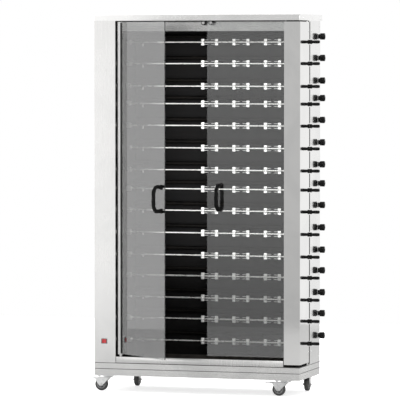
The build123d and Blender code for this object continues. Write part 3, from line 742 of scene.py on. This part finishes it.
def makeIgniter(node):
    spot = Vector((igniterSet["x"], igniterSet["y"], burnerLevel(node)))
    return turned("igniter", spot, (0, 0, -1),
                  [(0.036, 0.0020), (0.038, 0.0040), (0.040, 0.0048), (0.0460, 0.0048), (0.0470, 0.0036),
                   (0.050, 0.0036), (0.052, 0.0026)], sides=16)


def makeBracket(node):
    spot = Vector((igniterSet["x"], igniterSet["plateY"], burnerLevel(node)))
    plate = barBlock("plate", spot + Vector((0, 0, -0.024)), (0.012, 0.0018, 0.034), 0.0004, 1)
    shelf = barBlock("shelf", spot + Vector((0, -0.004, -0.042)), (0.012, 0.0105, 0.0018), 0.0004, 1)
    wireTop = Vector((igniterSet["x"], igniterSet["y"], spot.z + 0.004))
    wire = turned("wire", wireTop, (0, 0, -1), [(0, 0.0008), (igniterSet["wireLength"], 0.0008)], sides=8)
    return joined("bracket", [plate, shelf, wire])


burnerPattern = makeBurner(firstSpit)
igniterPattern = makeIgniter(firstSpit)
bracketPattern = makeBracket(firstSpit)
burners, igniters, brackets = [], [], []
for name in spitNames:
    rise = Vector((0, 0, middle(name).z - middle(firstSpit).z))
    burners.append(copied(burnerPattern, "burner", rise))
    igniters.append(copied(igniterPattern, "igniter", rise))
    brackets.append(copied(bracketPattern, "bracket", rise))
for pattern in (burnerPattern, igniterPattern, bracketPattern):
    bpy.data.objects.remove(pattern)
burnerRow = dressed(joined("burners", burners), burnerSteel, "cabinet")
igniterRow = dressed(joined("igniter_tips", igniters), ceramic, "cabinet")
bracketRow = dressed(joined("igniter_brackets", brackets), burnerSteel, "cabinet")
for piece in (burnerRow, igniterRow, bracketRow):
    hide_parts("burner_tubes")
print("burners made")

# Casters

wheelSet = {"spokes": 5}


def makeTyre(centre, axis):
    width = 0.012
    return turned("tyre", centre, axis,
                  [(-width + 0.0035, 0.0235), (-width + 0.0005, 0.0245), (-width, 0.0265),
                   (-width + 0.0012, 0.0315), (-width + 0.0042, 0.0343), (-0.004, 0.035), (0.004, 0.035),
                   (width - 0.0042, 0.0343), (width - 0.0012, 0.0315), (width, 0.0265),
                   (width - 0.0005, 0.0245), (width - 0.0035, 0.0235)], sides=64)


def makeHub(centre, axis):
    hub = turned("hub", centre, axis,
                 [(-0.0117, 0.0065), (-0.0117, 0.0095), (-0.0095, 0.0102), (-0.0088, 0.0205),
                  (-0.0102, 0.0215), (-0.0102, 0.0238), (0.0102, 0.0238), (0.0102, 0.0215),
                  (0.0088, 0.0205), (0.0095, 0.0102), (0.0117, 0.0095), (0.0117, 0.0065)], sides=40)
    flat = Vector(axis)
    side = flat.orthogonal().normalized()
    other = flat.cross(side)

    def onWeb(place, normal):
        away = place - centre
        away -= flat * away.dot(flat)
        turn = math.atan2(away.dot(other), away.dot(side)) / (2 * math.pi) * wheelSet["spokes"]
        return abs(normal.dot(flat)) > 0.9 and 0.013 < away.length < 0.018 and (turn % 1) > 0.24

    pickFaces(hub, onWeb)
    bpy.ops.mesh.inset(thickness=0.0009)
    bpy.ops.mesh.extrude_region_shrink_fatten(TRANSFORM_OT_shrink_fatten={"value": -0.0022})
    bpy.ops.object.mode_set(mode="OBJECT")
    return hub


def makeAxleEnds(centre, axis, reach):
    ends = []
    for way in (-1, 1):
        ends.append(turned("axleNut", centre, Vector(axis) * way,
                           [(reach, 0.0078), (reach + 0.0042, 0.0078), (reach + 0.0052, 0.0068)], sides=6))
        ends.append(turned("axleTip", centre, Vector(axis) * way,
                           [(reach + 0.004, 0.0042), (reach + 0.0072, 0.0042), (reach + 0.0080, 0.0034)],
                           sides=16))
    return joined("axleEnds", ends)


def plateBolts(centre, spanX, spanY, top):
    bolts = []
    for x in (-spanX, spanX):
        for y in (-spanY, spanY):
            bolts.append(turned("bolt", Vector((centre.x + x, centre.y + y, top)), (0, 0, -1),
                                [(0, 0.0068), (0.0042, 0.0068), (0.0052, 0.0058)], sides=6))
    return bolts


casters = {"front_left": (0, 1, 0), "front_right": (0, 1, 0), "rear_left": (1, 0, 0), "rear_right": (1, 0, 0)}
plateTop = high("caster_mounts").z - 0.004
mountBolts = []
for corner, axis in casters.items():
    wheel = corner + "_wheel"
    centre = middle(wheel)
    tyre = dressed(makeTyre(centre, axis), rubber, wheel)
    hub = dressed(makeHub(centre, axis), hubPlastic, wheel)
    tyre.name, hub.name = corner + "_tyre", corner + "_hub"
    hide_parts(wheel)
    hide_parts(wheel)
    isFront = corner.startswith("front")
    nuts = makeAxleEnds(centre, axis, 0.0166)
    nuts.name = corner + "_axle_nuts"
    dressed(nuts, zinc, corner + "_caster" if isFront else "cabinet")
    swivel = centre + Vector((0.032 if isFront else 0, 0, 0))
    mountBolts += plateBolts(swivel, 0.036 if isFront else 0.029, 0.029 if isFront else 0.036, plateTop)
    if isFront:
        body = corner + "_caster"
        ball = turned(corner + "_ball_race", Vector((swivel.x, swivel.y, 0)), (0, 0, 1),
                      [(0.0706, 0.0175), (0.0712, 0.0205), (0.0728, 0.0215), (0.0735, 0.0205)], sides=40)
        dressed(ball, zinc, body)
dressed(joined("caster_bolts", mountBolts), zinc, "cabinet")
print("casters made")

# Fasteners and trim

screwSet = {"radius": 0.0042, "height": 0.0016}


def domeScrew(place, axis, size=1.0):
    r, h = screwSet["radius"] * size, screwSet["height"] * size
    return turned("screw", Vector(place), axis,
                  [(-0.0003, r), (h * 0.35, r), (h * 0.75, r * 0.8), (h, r * 0.45), (h * 0.7, r * 0.36),
                   (h * 0.7, r * 0.1)], sides=14)


def evenly(first, last, count):
    return [first + (last - first) * step / (count - 1) for step in range(count)]


backFace, leftFace = high("back_panel").y, low("drive_housing_cover").x
panelFace = high("right_side_panel").x - 0.002
stripFace = high("right_side_panel").x
wallLow, wallHigh = low("back_panel").z, high("back_panel").z
roofLow, roofHigh = low("roof_cap"), high("roof_cap")
baseScrews = []
for z in evenly(wallLow + 0.04, wallHigh - 0.04, 9):
    baseScrews += [domeScrew((x, backFace, z), (0, 1, 0)) for x in (leftFace + 0.012, panelFace - 0.012)]
for x in evenly(leftFace + 0.15, panelFace - 0.15, 6):
    baseScrews += [domeScrew((x, backFace, z), (0, 1, 0)) for z in (wallLow + 0.015, wallHigh - 0.015)]
for z in (wallLow + 0.03, 0.62, 1.08, 1.54, wallHigh - 0.03):
    baseScrews.append(domeScrew((panelFace, backFace - 0.016, z), (1, 0, 0)))
    baseScrews.append(domeScrew((leftFace, backFace - 0.016, z), (-1, 0, 0)))
for z in (0.225, 1.913):
    baseScrews.append(domeScrew((stripFace, low("right_side_panel").y + 0.045, z), (1, 0, 0), 1.1))
for x in (roofLow.x, roofHigh.x):
    way = (1, 0, 0) if x > 0 else (-1, 0, 0)
    for y in (-0.14, 0.06, 0.21):
        baseScrews.append(domeScrew((x, y, roofLow.z + 0.012), way))
dressed(joined("panel_screws", baseScrews), zinc, "cabinet")

# Drip tray: a bright rail with a rolled lip in front of a dark pan

traySet = {"wall": 0.0015, "corner": 0.010, "panInset": (0.049, 0.002), "panDrop": 0.010,
           "railThick": 0.005, "lipDepth": 0.0075, "lipHeight": 0.0020}
trayLow, trayHigh = low("drip_tray"), high("drip_tray")
leftInset, rightInset = traySet["panInset"]
panLow = Vector((trayLow.x + leftInset, trayLow.y + traySet["railThick"] + 0.0002, trayLow.z))
panHigh = Vector((trayHigh.x - rightInset, trayHigh.y, trayHigh.z - traySet["panDrop"]))
pan = barBlock("pan", (panLow + panHigh) / 2, panHigh - panLow)


def onUpright(first, second):
    return abs(first.z - second.z) > 0.01 and min(first.y, second.y) > panHigh.y - 0.001


pickEdges(pan, onUpright)
bpy.ops.mesh.bevel(offset=traySet["corner"], segments=5, affect="EDGES")
bpy.ops.object.mode_set(mode="OBJECT")
pickFaces(pan, lambda place, normal: normal.z > 0.9)
bpy.ops.mesh.inset(thickness=traySet["wall"])
sink = traySet["wall"] - (panHigh.z - panLow.z)
bpy.ops.mesh.extrude_region_move(TRANSFORM_OT_translate={"value": (0, 0, sink)})
bpy.ops.object.mode_set(mode="OBJECT")
dressed(pan, panSteel, "drip_tray")
pan.name = "drip_pan"
trayWide, trayTall = trayHigh.x - trayLow.x, trayHigh.z - trayLow.z
railMiddle = trayLow + Vector((trayWide, traySet["railThick"], trayTall)) / 2
rail = barBlock("rail", railMiddle, (trayWide, traySet["railThick"], trayTall), 0.0008, 2)
lipPlace = Vector((railMiddle.x, trayLow.y + traySet["lipDepth"] / 2, trayHigh.z - traySet["lipHeight"] / 2))
lip = barBlock("lip", lipPlace, (trayWide - 0.001, traySet["lipDepth"], traySet["lipHeight"]), 0.0007, 2)
rail = dressed(joined("drip_rail", [rail, lip]), uprightSteel, "drip_tray")
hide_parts("drip_tray")
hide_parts("drip_tray")
print("tray made")

# Black strips where the base, the deck and the cabinet meet, and one over the doors: painted shadow standing in
# for the shadow gaps at these joints

shadowGapSet = {"height": 0.0026, "proud": 0.0004, "thick": 0.0016}
doorShadowSet = {"x": 0.022, "inset": 0.0045, "size": (0.925, 0.006, 0.0050)}


def makeShadowGapStrips(lowCorner, highCorner, level):
    # Four black strips round a box at one level, overlapping at the corners: a painted shadow line.
    thick, proud = shadowGapSet["thick"], shadowGapSet["proud"]
    x0, x1, y0, y1 = lowCorner.x - proud, highCorner.x + proud, lowCorner.y - proud, highCorner.y + proud
    runs = [((x0 + x1) / 2, y0 + thick / 2, x1 - x0, thick), ((x0 + x1) / 2, y1 - thick / 2, x1 - x0, thick),
            (x0 + thick / 2, (y0 + y1) / 2, thick, y1 - y0), (x1 - thick / 2, (y0 + y1) / 2, thick, y1 - y0)]
    return [barBlock("shadowGapStrip", Vector((x, y, level)), (wide, deep, shadowGapSet["height"]), 0.0003, 1)
            for x, y, wide, deep in runs]


plinthLow, plinthHigh = low("base_plinth"), high("base_plinth")
shadowGapStrips = makeShadowGapStrips(plinthLow, plinthHigh, low("base_deck").z)
# the upper painted shadow strip stays just under the deck, so that the tray slides over it
shadowGapStrips += makeShadowGapStrips(plinthLow, plinthHigh, low("drive_housing_cover").z - 0.6 * shadowGapSet["height"])
dressed(joined("base_shadow_gaps", shadowGapStrips), rubberAndShadowBlack, "cabinet")
# A black strip under the roof's front edge: painted shadow for the gap over the doors.
doorShadowPlace = Vector((doorShadowSet["x"], plinthLow.y + doorShadowSet["inset"], low("roof_cap").z - 0.0026))
dressed(barBlock("door_shadow_strip", doorShadowPlace, doorShadowSet["size"], 0.0008, 2), rubberAndShadowBlack, "cabinet")

# Glazing bead where the left glass leaves its post, and black strips on the side panel's edge that the column
# shuts against: painted shadow for the gap line there, broken at each spit

beadSet = {"wide": 0.0045, "proud": 0.0022, "fromEdge": 0.0118, "pane": 0.006}
shadowLineSet = {"wide": 0.013, "thick": 0.0012, "clear": 0.015, "end": 0.004}
paneLow, paneHigh = low("left_door_glass"), high("left_door_glass")
paneRun = Vector((paneHigh.x - paneLow.x, paneLow.y - paneHigh.y, 0))
paneTurn = math.atan2(paneRun.y, paneRun.x)
paneEdge = Vector((paneLow.x, paneHigh.y - beadSet["pane"] / 2, (paneLow.z + paneHigh.z) / 2))
beadPlace = paneEdge + paneRun.normalized() * beadSet["fromEdge"]
beadSize = (beadSet["wide"], beadSet["pane"] + 2 * beadSet["proud"], paneHigh.z - paneLow.z - 0.004)
bead = barBlock("left_glazing_bead", beadPlace, beadSize, 0.001, 2, paneTurn)
dressed(bead, rubberAndShadowBlack, "left_door")
panelLow, panelHigh = low("right_side_panel"), high("right_side_panel")
shadowLineEnds = [panelLow.z + shadowLineSet["end"]]
for name in spitNames:
    shadowLineEnds += [middle(name).z - shadowLineSet["clear"], middle(name).z + shadowLineSet["clear"]]
shadowLineEnds.append(panelHigh.z - shadowLineSet["end"])
shadowLineY = panelLow.y + 0.0008 + shadowLineSet["wide"] / 2
shadowLines = [barBlock("shadowLine", Vector((panelHigh.x - 0.0003, shadowLineY, (bottom + top) / 2)),
                   (shadowLineSet["thick"], shadowLineSet["wide"], top - bottom), 0.0004, 1)
          for bottom, top in zip(shadowLineEnds[::2], shadowLineEnds[1::2])]
dressed(joined("column_shadow_lines", shadowLines), rubberAndShadowBlack, "cabinet")

# Rubber sleeves on the two door catches
catchSet = {"x": (0.034, 0.076), "y": -0.186, "z": 1.956}
sleeves, bolts = [], []
for x in catchSet["x"]:
    spot = Vector((x, catchSet["y"], catchSet["z"]))
    sleeves.append(turned("sleeve", spot, (0, 1, 0),
                          [(0.0, 0.0086), (-0.0012, 0.0098), (-0.0008, 0.0118), (0.002, 0.0124), (0.012, 0.0124),
                           (0.0145, 0.0118)], sides=28))
    bolts.append(turned("bolt", spot, (0, -1, 0), [(0.0002, 0.0078), (0.0016, 0.0076), (0.0022, 0.0052),
                                                   (0.0030, 0.00416)], sides=24))
dressed(joined("catch_sleeves", sleeves), rubberAndShadowBlack, "cabinet")
dressed(joined("catch_bolts", bolts), zinc, "cabinet")

columnSide = high("right_door_column").x
columnScrews = []
for z in (0.222, 1.913):
    columnScrews.append(domeScrew((columnSide, high("right_door_column").y - 0.010, z), (1, 0, 0), 1.4))
dressed(joined("column_screws", columnScrews), zinc, "right_door")
print("fasteners made")

print("all pieces placed")
